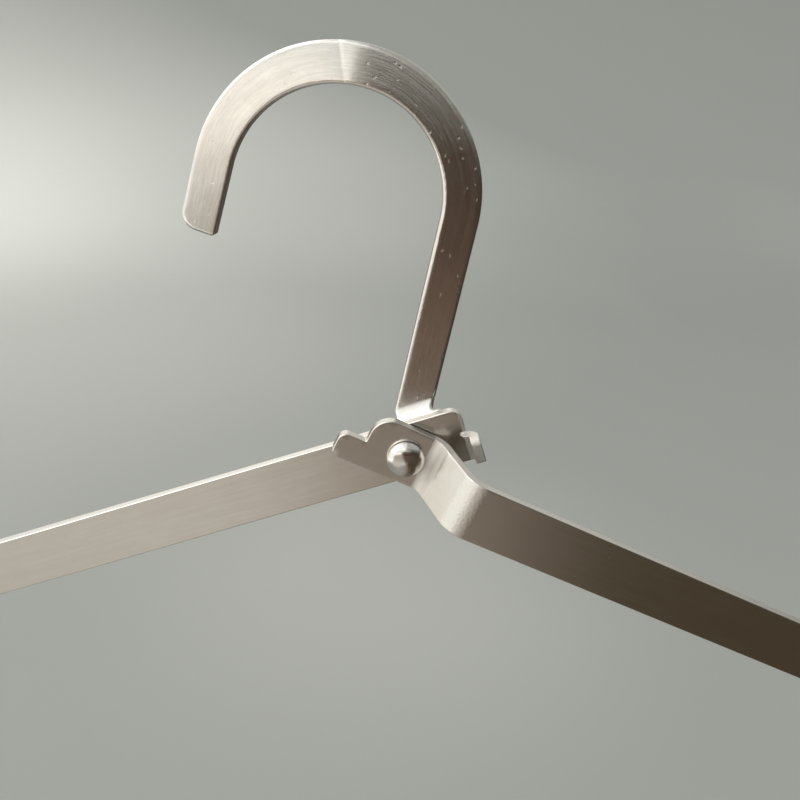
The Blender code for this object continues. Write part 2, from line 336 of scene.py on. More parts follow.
def left_arm_outline():
    tab_bend_length = (stop_tab_inner_radius + half_thickness) * pi / 2
    tab_end = stop_tab_bend_start + tab_bend_length + stop_tab_rise - stop_tab_inner_radius
    relief_end = stop_tab_bend_start - relief_depth
    relief_top = relief_width - stop_tab_drop
    low = -half_arm_width
    corners = [
        (Vector((-arm_reach, low)), half_arm_width),
        (Vector((tab_end, low)), stop_tab_low_corner),
        (Vector((tab_end, -stop_tab_drop)), stop_tab_top_corner),
        (Vector((relief_end, -stop_tab_drop)), relief_width / 2),
        (Vector((relief_end, relief_top)), relief_width / 2),
        (Vector((left_ear_reach, relief_top)), left_ear_lip),
        (Vector((left_ear_reach, half_arm_width)), left_ear_corner),
        (Vector((-arm_reach, half_arm_width)), half_arm_width),
    ]
    return rounded_outline(corners)


def left_arm_bends():
    def in_tab(point):
        return point.z < relief_width / 2 - stop_tab_drop

    start = Vector((stop_tab_bend_start, 0, 0))
    radius = stop_tab_inner_radius + half_thickness
    return [Bend(start, Vector((1, 0, 0)), 90, radius, -1, in_tab)]


def right_arm_bends():
    """Two opposite bends that carry the arm to the front, the farther one first."""
    skew = radians(step_skew)
    direction = Vector((cos(skew), 0, sin(skew)))
    hollow = step_hollow_radius + half_thickness
    crown = step_crown_radius - half_thickness
    angle = radians(step_angle)
    slope = (step_height - (hollow + crown) * (1 - cos(angle))) / sin(angle)
    second_start = step_start + hollow * angle + slope
    first = Bend(direction * step_start, direction, step_angle, hollow, -1)
    second = Bend(direction * second_start, direction, step_angle, crown, 1)
    return [second, first]


def right_arm_outline():
    low = right_arm_lift - half_arm_width
    high = right_arm_lift + half_arm_width
    taken = arm_reach - bend_point(Vector((arm_reach, 0, 0)), right_arm_bends()).x
    far_end = arm_reach + taken
    corners = [
        (Vector((-tongue_reach, low)), tongue_low_corner),
        (Vector((far_end, low)), half_arm_width),
        (Vector((far_end, high)), half_arm_width),
        (Vector((-shoulder_reach, high)), shoulder_corner),
        (Vector((-shoulder_reach, -tongue_top_drop)), notch_corner),
        (Vector((-tongue_reach, -tongue_top_drop)), tongue_top_corner),
    ]
    return rounded_outline(corners)


def neck_bends():
    """The neck's step to the back: a bend up, and before it a bend back above the base plate."""
    back = neck_back_inner_radius + half_thickness
    up = neck_up_front_radius + half_thickness
    back_angle = radians(neck_back_angle)
    lean_angle = radians(neck_back_angle - neck_up_angle)
    taken = back * (1 - cos(back_angle)) + up * (cos(lean_angle) - cos(back_angle))
    shelf = (neck_set_back - taken) / sin(back_angle)
    up_start = neck_bend_start + back * back_angle + shelf
    direction = Vector((0, 0, 1))
    first = Bend(direction * neck_bend_start, direction, neck_back_angle, back, 1)
    second = Bend(direction * up_start, direction, neck_up_angle, up, -1)
    return [second, first]


def neck_take_up():
    """How much height the neck's bends take from the flat plate."""
    bends = neck_bends()
    neck_end = bends[0].start + bends[0].direction * bends[0].length
    return neck_end.z - bend_point(neck_end, bends).z


class HookPath:
    """The hook's middle line in its flat plate: a straight shaft, two arcs and a straight tip."""

    def __init__(self):
        lean = radians(shaft_lean)
        self.up = Vector((sin(lean), cos(lean)))
        self.side = Vector((cos(lean), -sin(lean)))
        self.root = Vector((shaft_root_side, shaft_root_height + neck_take_up()))
        top = self.root + self.up * shaft_length
        self.right_centre = top - self.side * right_arc_radius
        join = self.radial(right_arc_angle)
        self.left_centre = self.right_centre + join * (right_arc_radius - left_arc_radius)
        self.right_end = shaft_length + right_arc_radius * radians(right_arc_angle)
        left_sweep = radians(left_arc_end_angle - right_arc_angle)
        self.left_end = self.right_end + left_arc_radius * left_sweep

    def radial(self, angle):
        return self.side * cos(radians(angle)) + self.up * sin(radians(angle))

    def edge(self, offset):
        """Points along both arcs, from the shaft to the tip. offset is the distance outwards."""
        start = -radians(shaft_lean)
        join = radians(right_arc_angle)
        sweep = radians(left_arc_end_angle) - join
        right_radius = right_arc_radius + offset
        left_radius = left_arc_radius + offset
        right = arc_points(self.right_centre, right_radius, start, join, hook_arc_step)
        left = arc_points(self.left_centre, left_radius, start + join, sweep, hook_arc_step)
        return right + left[1:]

    def shaft_edge(self, offset, side):
        """The place on one edge of the shaft at a distance to the right of the pivot."""
        place = self.root + self.side * offset
        return place + self.up * ((side - place.x) / self.up.x)

    def tip(self, offset):
        outward = self.radial(left_arc_end_angle)
        along = Vector((-outward.y, outward.x))
        return self.left_centre + outward * (left_arc_radius + offset) + along * tip_length

    def place(self, along, across):
        """The flat place at a distance along the middle line and a distance outwards from it."""
        if along <= shaft_length:
            return self.root + self.up * along + self.side * across
        if along <= self.right_end:
            angle = degrees((along - shaft_length) / right_arc_radius)
            return self.right_centre + self.radial(angle) * (right_arc_radius + across)
        angle = right_arc_angle + degrees((along - self.right_end) / left_arc_radius)
        if angle <= left_arc_end_angle:
            return self.left_centre + self.radial(angle) * (left_arc_radius + across)
        outward = self.radial(left_arc_end_angle)
        onward = Vector((-outward.y, outward.x)) * (along - self.left_end)
        return self.left_centre + outward * (left_arc_radius + across) + onward

    def strip(self, flat):
        """The distance along and across the strip of a flat place, the other way round from place."""
        from_root = flat - self.root
        if from_root.dot(self.up) <= shaft_length and flat.x > self.right_centre.x / 2:
            return from_root.dot(self.up), from_root.dot(self.side)
        ray = flat - self.right_centre
        angle = atan2(ray.dot(self.up), ray.dot(self.side))
        if 0 <= angle <= radians(right_arc_angle):
            return shaft_length + right_arc_radius * angle, ray.length - right_arc_radius
        ray = flat - self.left_centre
        angle = atan2(ray.dot(self.up), ray.dot(self.side))
        if radians(right_arc_angle) <= angle <= radians(left_arc_end_angle):
            swept = angle - radians(right_arc_angle)
            return self.right_end + left_arc_radius * swept, ray.length - left_arc_radius
        outward = self.radial(left_arc_end_angle)
        onward = ray.dot(Vector((-outward.y, outward.x)))
        return self.left_end + onward, ray.dot(outward) - left_arc_radius


def crown_line(path):
    """The start of the crown's fold and its direction across the fold line, as the CAD has them."""
    middle = path.left_centre + path.radial(crown_angle) * left_arc_radius
    across = path.radial(crown_angle + crown_fold_skew)
    direction = Vector((-across.y, 0, across.x))
    radius = crown_fold_inner_radius + half_thickness
    half_length = radius * radians(crown_fold_angle) / 2
    return Vector((middle.x, 0, middle.y)) - direction * half_length, direction, radius


def hook_bends(path):
    start, direction, radius = crown_line(path)

    def on_crown(point):
        return point.z > path.root.y + hook_width

    return [Bend(start, direction, crown_fold_angle, radius, 1, on_crown)] + neck_bends()


def hook_outline(path):
    top = neck_bend_start + neck_bends()[1].length + hook_base_lip
    left = -hook_base_left
    right = hook_base_right
    low = -hook_base_low
    corners = [(path.shaft_edge(half_hook_width, neck_right_side), neck_right_blend)]
    corners += [(place, 0) for place in path.edge(half_hook_width)]
    corners += [(path.tip(half_hook_width), tip_outer_corner)]
    corners += [(path.tip(-half_hook_width), tip_inner_corner)]
    corners += [(place, 0) for place in reversed(path.edge(-half_hook_width))]
    corners += [
        (path.shaft_edge(-half_hook_width, neck_left_side), neck_left_blend),
        (Vector((neck_left_side, top)), hook_neck_fillet),
        (Vector((left, top)), hook_base_top_corner),
        (Vector((left, low)), hook_base_low_corner),
        (Vector((right, low)), hook_base_low_corner),
        (Vector((right, top)), hook_base_top_corner),
        (Vector((neck_right_side, top)), hook_neck_fillet),
    ]
    return rounded_outline(corners)


class EdgeRoll(namedtuple("EdgeRoll", "width drop wander")):
    """How one face of a plate turns into its sheared wall."""

    def rings(self):
        """Distances from the outline and below the face, from the flat face outwards."""
        for step in range(edge_steps + 1):
            turn = step / edge_steps * pi / 2
            yield self.width * (1 - sin(turn)), self.drop * (1 - cos(turn))

    def stretch(self, place):
        """How the width wanders a little along the edge."""
        sample = Vector((place.x, place.y, 0)) / roll_wander_length
        return 1 + self.wander * noise.noise(sample)


def filled(loops, inner_points, spacing_at):
    """Triangles inside the first loop and outside the others, through the inner points."""
    points = []
    edges = []
    for loop in loops:
        first = len(points)
        points += loop
        edges += [(first + index, first + (index + 1) % len(loop)) for index in range(len(loop))]
    grid = {}
    cell = arm_spacing
    for place in points:
        grid.setdefault((int(place.x // cell), int(place.y // cell)), []).append(place)

    def clear_of_edges(place):
        column = int(place.x // cell)
        row = int(place.y // cell)
        least = spacing_at(place) * edge_clearance_share
        for near_column in (column - 1, column, column + 1):
            for near_row in (row - 1, row, row + 1):
                for other in grid.get((near_column, near_row), ()):
                    if (other - place).length < least:
                        return False
        return True

    inside = [place for place in inner_points if clear_of_edges(place)]
    scaled = [place / MM for place in points + inside]
    result = delaunay_2d_cdt(scaled, edges, [], 0, triangulation_tolerance, True)
    verts, _, faces, origins, _, _ = result
    kept = []
    for face in faces:
        middle = sum((verts[index] for index in face), Vector((0, 0))) * (MM / 3)
        if within(loops, middle):
            kept.append(face)
    return [vert * MM for vert in verts], kept, origins, len(points)


def within(loops, place):
    """Whether a place is in the material: inside an odd number of loops."""
    odd = False
    for loop in loops:
        for index, corner in enumerate(loop):
            before = loop[index - 1]
            if (corner.y > place.y) != (before.y > place.y):
                share = (place.y - before.y) / (corner.y - before.y)
                if place.x < before.x + (corner.x - before.x) * share:
                    odd = not odd
    return odd


def hole_loop():
    """The pivot hole, run backwards so that the material lies on its left."""
    radius = rivet_shank_diameter / 2 + rivet_gap
    angles = [-2 * pi * index / hole_sides for index in range(hole_sides)]
    return [Vector((cos(angle), sin(angle))) * radius for angle in angles]


def plate(name, outline, inner_points, spacing_at, rolls, strip_of, relief, bends, middle_depth, turn):
    """A closed plate. relief gives how far the front face stands forward at a flat place."""
    rim = divided(outline, spacing_at)
    if area(rim) < 0:
        rim.reverse()
    loops = [inset(rim, finish_allowance), hole_loop()]
    face_depth = half_thickness - finish_allowance
    mesh = bmesh.new()
    strip_layer = mesh.verts.layers.float_vector.new("strip")
    spin = Matrix.Rotation(radians(turn), 3, "Y")
    shift = Vector((0, middle_depth, 0))

    def add(flat, depth):
        raised = relief(flat) * max(0, -depth / half_thickness)
        bent = bend_point(Vector((flat.x, depth - raised, flat.y)), bends)
        vert = mesh.verts.new(PIVOT + spin @ (bent + shift))
        along, across = strip_of(flat)
        vert[strip_layer] = Vector((along, across, depth)) / MM
        return vert

    rings = []
    for side, roll in zip((-1, 1), rolls):
        face_rings = []
        for width, drop in roll.rings():
            ring = []
            for loop_index, loop in enumerate(loops):
                moved = inset(loop, 1) if width else None
                for index, place in enumerate(loop):
                    own = width * roll.stretch(place)
                    if loop_index:
                        own = min(own, arm_edge_width)
                    offset = (moved[index] - place) * own if width else Vector((0, 0))
                    ring.append((place + offset, side * (face_depth - drop)))
            face_rings.append(ring)
        rings.append(face_rings)

    sizes = [len(loop) for loop in loops]
    built = []
    for face_rings, side in zip(rings, (-1, 1)):
        inner = [flat for flat, depth in face_rings[0]]
        inner_loops = [inner[:sizes[0]], inner[sizes[0]:]]
        verts, faces, origins, edge_count = filled(inner_loops, inner_points, spacing_at)
        made = [add(flat, side * face_depth) for flat in verts]
        for face in faces:
            corners = [made[index] for index in face]
            mesh.faces.new(corners if side < 0 else reversed(corners))
        first_ring = [None] * edge_count
        for index, sources in enumerate(origins):
            for source in sources:
                if source < edge_count:
                    first_ring[source] = made[index]
        rows = [first_ring]
        for ring in face_rings[1:]:
            rows.append([add(flat, depth) for flat, depth in ring])
        built.append(rows)
    front, back = built
    wall = []
    for row in range(1, wall_rows):
        share = row / wall_rows
        edges = zip(rings[0][-1], rings[1][-1])
        wall.append([add(place, near + (far - near) * share) for (place, near), (_, far) in edges])
    rows = front + wall + list(reversed(back))
    for upper, lower in zip(rows, rows[1:]):
        first = 0
        for size in sizes:
            for index in range(size):
                here = first + index
                ahead = first + (index + 1) % size
                mesh.faces.new((upper[here], lower[here], lower[ahead], upper[ahead]))
            first += size
    loose = [vert for vert in mesh.verts if not vert.link_faces]
    bmesh.ops.delete(mesh, geom=loose, context="VERTS")
    bmesh.ops.recalc_face_normals(mesh, faces=mesh.faces[:])
    data = bpy.data.meshes.new(name)
    mesh.to_mesh(data)
    mesh.free()
    data.shade_smooth()
    piece = linked(name, data)
    even = piece.modifiers.new("flat faces stay flat", "WEIGHTED_NORMAL")
    even.mode = "FACE_AREA"
    even.weight = normal_weight
    return piece


def steps(low, high, step):
    """Values from low in equal steps, short of high."""
    while low < high:
        yield low
        low += step


def grid_points(direction, low, high, spacing_at, wide_spacing):
    """Rows of flat places square to a direction, close together where the spacing is fine."""
    across = Vector((-direction.y, direction.x))
    points = []
    along = low.x
    while along < high.x:
        for step in steps(low.y, high.y, wide_spacing):
            points.append(direction * along + across * step)
        along += spacing_at(direction * along)
    return points


def arm_spacing_at(near):
    """Fine between two places along X, and slowly wider away from them."""

    def spacing_at(place):
        gap = max(0, max(near[0] - place.x, place.x - near[1]))
        return min(arm_spacing, fine_spacing + gap * arm_spacing_growth)

    return spacing_at


def make_left_arm():
    near = (stop_tab_bend_start - tab_fine_before, stop_tab_bend_start + tab_fine_past)
    spacing_at = arm_spacing_at(near)
    low = Vector((-arm_reach, -half_arm_width))
    high = Vector((stop_tab_bend_start + tab_points_past, half_arm_width))
    points = grid_points(Vector((1, 0)), low, high, spacing_at, arm_spacing / 2)
    roll = EdgeRoll(arm_edge_width, arm_edge_drop, 0)

    def relief(flat):
        """A slight sag that is deepest where the right arm's tongue ends."""
        reach = left_arm_sag_start if flat.x < left_arm_sag_middle else left_arm_sag_end
        share = min(1, (flat.x - left_arm_sag_middle) / (reach - left_arm_sag_middle))
        return sheet_wave(flat) - left_arm_sag_depth * (1 + cos(pi * share)) / 2

    return plate(
        "left_arm_plate",
        left_arm_outline(),
        points,
        spacing_at,
        (roll, roll),
        lambda flat: (flat.x, flat.y),
        relief,
        left_arm_bends(),
        half_thickness,
        -arm_drop,
    )


def sheet_wave(flat):
    sample = Vector((flat.x, flat.y, 0)) / sheet_wave_length
    return sheet_wave_height * (noise.noise(sample) - 1)


def make_right_arm():
    second, first = right_arm_bends()
    bend_end = (second.start + second.direction * second.length).x
    spacing_at = arm_spacing_at((step_start - step_fine_margin, bend_end + step_fine_margin))
    skew = radians(step_skew)
    direction = Vector((cos(skew), sin(skew)))
    low = Vector((-tongue_reach, -arm_width))
    high = Vector((arm_reach + step_height, arm_width))
    points = grid_points(direction, low, high, spacing_at, arm_spacing / 2)
    outline = right_arm_outline()
    points = [place for place in points if within([outline], place)]
    roll = EdgeRoll(arm_edge_width, arm_edge_drop, 0)

    def relief(flat):
        """A ridge where the hollow bend's tool ended, and a tongue that is slightly twisted."""
        past = flat.dot(direction) - step_start - first.length
        ridge = step_ridge_height * exp(-(past / step_ridge_width) ** 2)
        behind = tongue_tilt_blend * log(1 + exp(-flat.x / tongue_tilt_blend))
        return sheet_wave(flat) + ridge + behind * (tongue_tilt - tongue_twist * flat.y)

    return plate(
        "right_arm_plate",
        outline,
        points,
        spacing_at,
        (roll, roll),
        lambda flat: (flat.dot(direction), flat.dot(Vector((-direction.y, direction.x)))),
        relief,
        [second, first],
        -arm_gap - half_thickness,
        arm_drop,
    )


def make_hook():
    path = HookPath()
    bends = hook_bends(path)
    neck_top = path.root.y
    fold_start, fold_direction, fold_radius = crown_line(path)
    fold_length = fold_radius * radians(crown_fold_angle)

    def past_fold(flat):
        return (Vector((flat.x, 0, flat.y)) - fold_start).dot(fold_direction)

    def spacing_at(flat):
        if neck_bend_start - neck_fine_before < flat.y < neck_top + neck_fine_past:
            return fine_spacing
        near_fold = -crown_fine_reach < past_fold(flat) < 2 * fold_length
        on_crown = flat.y > path.right_centre.y and near_fold
        return fine_spacing if on_crown else hook_spacing

    points = []
    for along in steps(0, path.left_end + tip_length, hook_spacing):
        for across in steps(-half_hook_width, half_hook_width, hook_spacing):
            place = path.place(along, across)
            if spacing_at(place) == hook_spacing:
                points.append(place)
    line = Vector((fold_direction.x, fold_direction.z))
    line_side = Vector((-line.y, line.x))
    middle = Vector((fold_start.x, fold_start.z))
    outline = hook_outline(path)
    first_row = fold_length - fine_spacing * round((fold_length + crown_fine_reach) / fine_spacing)
    for row in steps(first_row, 2 * fold_length, fine_spacing):
        for step in steps(-hook_width, hook_width, hook_spacing):
            points.append(middle + line * row + line_side * step)
    height = -hook_base_low
    while height < neck_top + fine_spacing:
        for side in steps(-hook_base_left, hook_base_right, hook_spacing):
            points.append(Vector((side, height)))
        height += spacing_at(Vector((0, height)))
    points = [place for place in points if within([outline], place)]

    def relief(flat):
        """The crown's crease: a wedge-shaped slope and a slow sweep that fall to a sunk line."""
        wave = sheet_wave(flat)
        if flat.y < path.right_centre.y:
            return wave
        across = path.strip(flat)[1]
        share = max(0, min(1, (across + half_hook_width) / hook_width))
        wedge = crown_wedge_inner + (crown_wedge_outer - crown_wedge_inner) * share
        past = past_fold(flat) - fold_length
        wedge_rise = crown_wedge_slope * wedge
        sweep_rise = crown_sweep_slope * crown_sweep_length
        sunk = crown_sunk_share * (wedge_rise + sweep_rise)
        fade = max(0, 1 - abs(past) / crown_crease_reach) ** 2
        if past > 0:
            return wave - sunk * exp(-past / crown_crease_left_fade) * fade
        rise = wedge_rise * (1 - exp(past / wedge)) + sweep_rise * (1 - exp(past / crown_sweep_length))
        return wave + (rise - sunk) * fade

    front = EdgeRoll(hook_front_edge_width, hook_front_edge_drop, roll_wander)
    back = EdgeRoll(hook_back_edge_width, hook_back_edge_drop, 0)
    return plate(
        "hook_plate",
        outline,
        points,
        spacing_at,
        (front, back),
        path.strip,
        relief,
        bends,
        plate_thickness + hook_gap + half_thickness,
        -arm_drop,
    )


def make_rivet():
    """The rivet's profile, turned: a shallow cone with a blunt peak, rings and a rounded edge."""
    front = -arm_gap - plate_thickness - rivet_gap
    back = 2 * plate_thickness + hook_gap + rivet_gap
    head_radius = rivet_head_diameter / 2
    shank_radius = rivet_shank_diameter / 2
    tail_radius = rivet_tail_diameter / 2
    dome_height = rivet_head_height - rivet_head_rim
    crown = front - rivet_head_height
    dome_steps = 90
    falls = [(0, 0)]
    for index in range(1, dome_steps + 1):
        radius = head_radius * sin(pi / 2 * index / dome_steps)
        middle = (radius + falls[-1][0]) / 2
        edge_share = (middle / head_radius) ** rivet_edge_power
        tilt = rivet_cone_angle + (rivet_edge_angle - rivet_cone_angle) * edge_share
        blunted = 1 - exp(-(middle / rivet_peak_radius) ** 2)
        falls.append((radius, falls[-1][1] + (radius - falls[-1][0]) * tan(radians(tilt)) * blunted))
    profile = []
    for radius, fall in falls:
        share = radius / head_radius
        ring = rivet_ring_depth * (1 - cos(share * pi * rivet_ring_turns)) * share * (1 - share)
        profile.append((radius, crown + fall * dome_height / falls[-1][1] + ring))
    rim_steps = 8

    def add_rounding(outer_radius, outer_depth, rounding):
        for index in range(rim_steps + 1):
            angle = pi / 2 * index / rim_steps
            radius = outer_radius - rounding * (1 - cos(angle))
            profile.append((radius, outer_depth - rounding * (1 - sin(angle))))

    add_rounding(head_radius, front, rivet_head_rim_rounding)
    profile += [(shank_radius, front), (shank_radius, back), (tail_radius, back)]
    add_rounding(tail_radius, back + rivet_tail_height, rivet_tail_rounding)
    profile.append((0, back + rivet_tail_height))
    data = bpy.data.meshes.new("rivet_dome")
    places = [(radius, 0, -depth) for radius, depth in profile]
    data.from_pydata(places, [(index, index + 1) for index in range(len(places) - 1)], [])
    piece = linked("rivet_dome", data)
    piece.rotation_euler.x = radians(90)
    piece.location = PIVOT
    screw = piece.modifiers.new("turning", "SCREW")
    screw.axis = "Z"
    screw.steps = rivet_turn_steps
    screw.render_steps = rivet_turn_steps
    screw.use_merge_vertices = True
    screw.merge_threshold = weld_distance
    screw.use_smooth_shade = True
    return piece


class Nodes:
    """A short way to write a node tree."""

    def __init__(self, tree):
        self.tree = tree

    def add(self, kind, inputs=(), **settings):
        """A new node. Its inputs get plain values or the outputs of other nodes."""
        node = self.tree.nodes.new(kind)
        for key, value in settings.items():
            setattr(node, key, value)
        for key, value in dict(inputs).items():
            self.put(node.inputs[key], value)
        return node

    def link(self, source, target):
        self.tree.links.new(source, target)

    def put(self, socket, value):
        if isinstance(value, bpy.types.NodeSocket):
            self.link(value, socket)
        else:
            socket.default_value = value

    def math(self, operation, first, second=0.0):
        return self.add("ShaderNodeMath", {0: first, 1: second}, operation=operation).outputs[0]

    def ramp(self, value, low, high, to_low=0.0, to_high=1.0, smooth=True):
        kind = "SMOOTHSTEP" if smooth else "LINEAR"
        inputs = enumerate((value, low, high, to_low, to_high))
        return self.add("ShaderNodeMapRange", inputs, interpolation_type=kind).outputs[0]

    def profile(self, value, stops):
        """Colours along a value. Each stop is a value and the colour there."""
        low = stops[0][0]
        high = stops[-1][0]
        node = self.add("ShaderNodeValToRGB", {0: self.ramp(value, low, high, smooth=False)})
        elements = node.color_ramp.elements
        elements[0].color = (*stops[0][1:], 1)
        elements[1].color = (*stops[-1][1:], 1)
        for place, *colour in stops[1:-1]:
            elements.new((place - low) / (high - low)).color = (*colour, 1)
        return node.outputs[0]

    def mix(self, factor, first, second):
        inputs = {"Factor": factor, "A": first, "B": second}
        return self.add("ShaderNodeMix", inputs, data_type="RGBA").outputs["Result"]

    def scaled(self, vector, factors):
        return self.add("ShaderNodeVectorMath", {0: vector, 1: factors}, operation="MULTIPLY").outputs[0]

    def parts(self, vector):
        return self.add("ShaderNodeSeparateXYZ", {0: vector}).outputs

    def noise(self, vector, detail=2.0, roughness=0.5, scale=1.0):
        inputs = {"Vector": vector, "Scale": scale, "Detail": detail, "Roughness": roughness}
        return self.add("ShaderNodeTexNoise", inputs).outputs["Fac"]

    def drawn_noise(self, vector, along, across, through, detail, roughness):
        """Noise that changes at its own rate along each axis."""
        return self.noise(self.scaled(vector, (along, across, through)), detail, roughness)

    def bump(self, height, strength, distance, normal=None):
        node = self.add("ShaderNodeBump", {"Strength": strength, "Distance": distance, "Height": height})
        if normal is not None:
            self.link(normal, node.inputs["Normal"])
        return node.outputs["Normal"]


def new_metal(name):
    material = bpy.data.materials.new(name)
    material.use_nodes = True
    shader = material.node_tree.nodes["Principled BSDF"]
    shader.inputs["Metallic"].default_value = 1.0
    return material, Nodes(material.node_tree), shader


# The metals' noises: changes along, across and through for each millimetre, detail and roughness
fine_grain_noise = (0.45, 7.0, 0.5, 4.0, 0.65)
wide_grain_noise = (0.16, 1.9, 0.5, 3.0, 0.6)
long_streak_noise = (0.03, 1.3, 0.2, 3.0, 0.6)
cloud_noise = (0.16, 0.22, 0.2, 3.0, 0.55)
wall_streak_noise = (6.0, 0.0, 0.6, 3.0, 0.6)
ragged_noise = (2.4, 2.4, 2.4, 2.0, 0.5)
pit_cluster_noise = (0.11, 0.20, 0.2, 2.0, 0.5)
peel_noise = (2.0, 1.7, 1.7, 3.0, 0.6)
scratch_noise = (2.0, 9.0, 2.0, 4.0, 0.7)
pit_scales = (0.46, 0.60, 0.5)

# Between which values each mark fades in or out
wall_blend = (0.80, 0.98)
noise_blend = (0.3, 0.7)
streak_blend = (0.35, 0.65)
grain_blend = (0.42, 0.58)
scratch_blend = (0.4, 0.75)
pit_blend = (0.02, 0.19)
pit_cluster_low = 0.62
pit_cluster_high = 0.70

# How much each mark adds to the shape of the pits, to the colour and to the roughness
pit_raggedness = 0.09
cloud_share = 0.5
streak_polish = 0.015
streak_dulling = 0.025
wall_dulling = 0.12
scratch_dulling = 0.08

# The finest marks: how strong they are and their depth in metres
grain_depth = 0.00002
wall_streak_bump = (0.35, 0.00003)
pit_bump = (0.6, 0.000025)
turned_ring_bump = (0.25, 0.00002)
scratch_bump = (0.08, 0.00001)

# Where the bending tools left the sheet rough: its ends along the strip and how softly they start,
# in millimetres, the marks' height in metres and the added roughness
Worked = namedtuple("Worked", "start end edge height dulling")


def sheet_metal(name, colour, shade, worked, roughness=0.20, grain=0.15, brush=0.35, pit_share=0.03):
    """Rolled sheet: grain along the strip, small pits, a streaked sheared wall and worked bends."""
    material, nodes, shader = new_metal(name)
    strip = nodes.add("ShaderNodeAttribute", attribute_name="strip").outputs["Vector"]
    along, _, depth = nodes.parts(strip)

    wall = nodes.ramp(nodes.math("ABSOLUTE", depth), *wall_blend, 1.0, 0.0)
    fine_grain = nodes.drawn_noise(strip, *fine_grain_noise)
    wide_grain = nodes.drawn_noise(strip, *wide_grain_noise)
    both_grains = nodes.math("ADD", fine_grain, wide_grain)
    long_streaks = nodes.drawn_noise(strip, *long_streak_noise)
    clouds = nodes.drawn_noise(strip, *cloud_noise)
    wall_streaks = nodes.drawn_noise(strip, *wall_streak_noise)

    ragged = nodes.drawn_noise(strip, *ragged_noise)
    spot_inputs = {"Vector": nodes.scaled(strip, pit_scales), "Scale": 1.0, "Randomness": 1.0}
    spots = nodes.add("ShaderNodeTexVoronoi", spot_inputs, feature="F1")
    uneven = nodes.ramp(ragged, *noise_blend, -pit_raggedness, pit_raggedness)
    reach = nodes.math("ADD", spots.outputs["Distance"], uneven)
    pit = nodes.ramp(reach, *pit_blend, 1.0, 0.0)
    clusters = nodes.drawn_noise(strip, *pit_cluster_noise)
    clustered = nodes.ramp(clusters, pit_cluster_low - pit_share, pit_cluster_high - pit_share)
    pit = nodes.math("MULTIPLY", pit, clustered)

    brushed = nodes.math("MULTIPLY", both_grains, 0.5)
    base = nodes.mix(nodes.ramp(clouds, *noise_blend, 0.0, cloud_share), colour, shade)
    base = nodes.mix(nodes.ramp(brushed, *grain_blend, 0.0, brush), base, shade)
    streaked = nodes.mix(nodes.ramp(wall_streaks, *streak_blend), colour, shade)
    base = nodes.mix(wall, base, streaked)
    nodes.link(base, shader.inputs["Base Color"])

    lowest = roughness - streak_polish
    rough = nodes.ramp(long_streaks, *noise_blend, lowest, roughness + streak_dulling)
    rough = nodes.math("ADD", rough, nodes.math("MULTIPLY", wall, wall_dulling))
    level_grain = nodes.math("SUBTRACT", both_grains, 1.0)
    heights = nodes.math("MULTIPLY", level_grain, nodes.math("SUBTRACT", 1.0, wall))
    normal = nodes.bump(heights, grain, grain_depth)
    level_streaks = nodes.math("SUBTRACT", wall_streaks, 0.5)
    normal = nodes.bump(nodes.math("MULTIPLY", level_streaks, wall), *wall_streak_bump, normal)
    pits = nodes.math("MULTIPLY", pit, -1.0)
    normal = nodes.bump(pits, *pit_bump, normal)
    for mark in worked:
        rise = nodes.ramp(along, mark.start - mark.edge, mark.start + mark.edge)
        fall = nodes.ramp(along, mark.end - mark.edge, mark.end + mark.edge, 1.0, 0.0)
        zone = nodes.math("MULTIPLY", rise, fall)
        peel = nodes.drawn_noise(strip, *peel_noise)
        level_peel = nodes.math("SUBTRACT", peel, 0.5)
        normal = nodes.bump(nodes.math("MULTIPLY", level_peel, zone), 1.0, mark.height, normal)
        rough = nodes.math("ADD", rough, nodes.math("MULTIPLY", zone, mark.dulling))
    nodes.link(rough, shader.inputs["Roughness"])
    nodes.link(normal, shader.inputs["Normal"])
    return material


def polished_metal(name, colour, shade, roughness):
    """The rivet's metal: turned rings about the pivot and fine scratches."""
    material, nodes, shader = new_metal(name)
    place = nodes.add("ShaderNodeTexCoord").outputs["Object"]
    in_mm = nodes.scaled(place, (1 / MM, 1 / MM, 1 / MM))
    side, height, _ = nodes.parts(in_mm)
    square = nodes.math("ADD", nodes.math("MULTIPLY", side, side), nodes.math("MULTIPLY", height, height))
    radius = nodes.math("SQRT", square)
    ring_inputs = {"W": radius, "Scale": 6.0, "Detail": 3.0}
    rings = nodes.add("ShaderNodeTexNoise", ring_inputs, noise_dimensions="1D")
    scratches = nodes.drawn_noise(in_mm, *scratch_noise)
    base = nodes.mix(nodes.ramp(rings.outputs["Fac"], *streak_blend), colour, shade)
    nodes.link(base, shader.inputs["Base Color"])
    rough = nodes.ramp(scratches, *scratch_blend, roughness, roughness + scratch_dulling)
    nodes.link(rough, shader.inputs["Roughness"])
    normal = nodes.bump(rings.outputs["Fac"], *turned_ring_bump)
    normal = nodes.bump(scratches, *scratch_bump, normal)
    nodes.link(normal, shader.inputs["Normal"])
    return material


